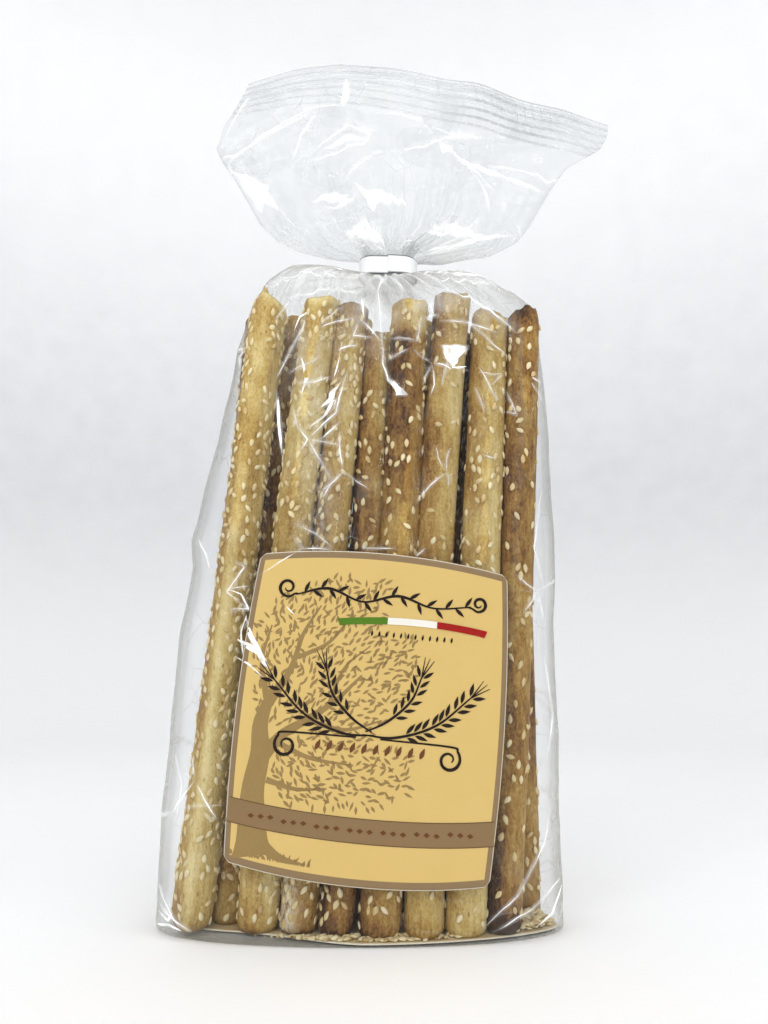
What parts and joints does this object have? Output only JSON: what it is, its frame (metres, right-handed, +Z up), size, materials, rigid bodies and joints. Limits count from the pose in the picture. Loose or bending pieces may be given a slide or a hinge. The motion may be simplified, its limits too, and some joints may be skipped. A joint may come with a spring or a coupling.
{
  "type": "bag of sesame breadsticks",
  "caption": "Clear film bag of long sesame breadsticks standing on a flat base, with a paper label, a white clip band at the neck and a fanned sealed top.",
  "frame": {"origin": "middle of the flat base that the bag stands on", "axes": "+Z up along the bag, +X to the right seen from the front, -Y towards the viewer, the label's side"},
  "size_m": [0.169, 0.042, 0.3319],
  "materials": {
    "clear_film": "thin clear crinkled film, glossy",
    "clip_plastic": "white band, satin",
    "label_paper": "coated paper, satin, cream yellow with a brown border and band",
    "baked_crust": "dry baked bread crust, golden to brown",
    "sesame": "toasted hulled sesame seed, satin",
    "base_card": "thin pale card"
  },
  "bodies": {
    "root": {"bag": "clear_film", "clip_band": "clip_plastic", "label": "label_paper"}
  },
  "joints": []
}
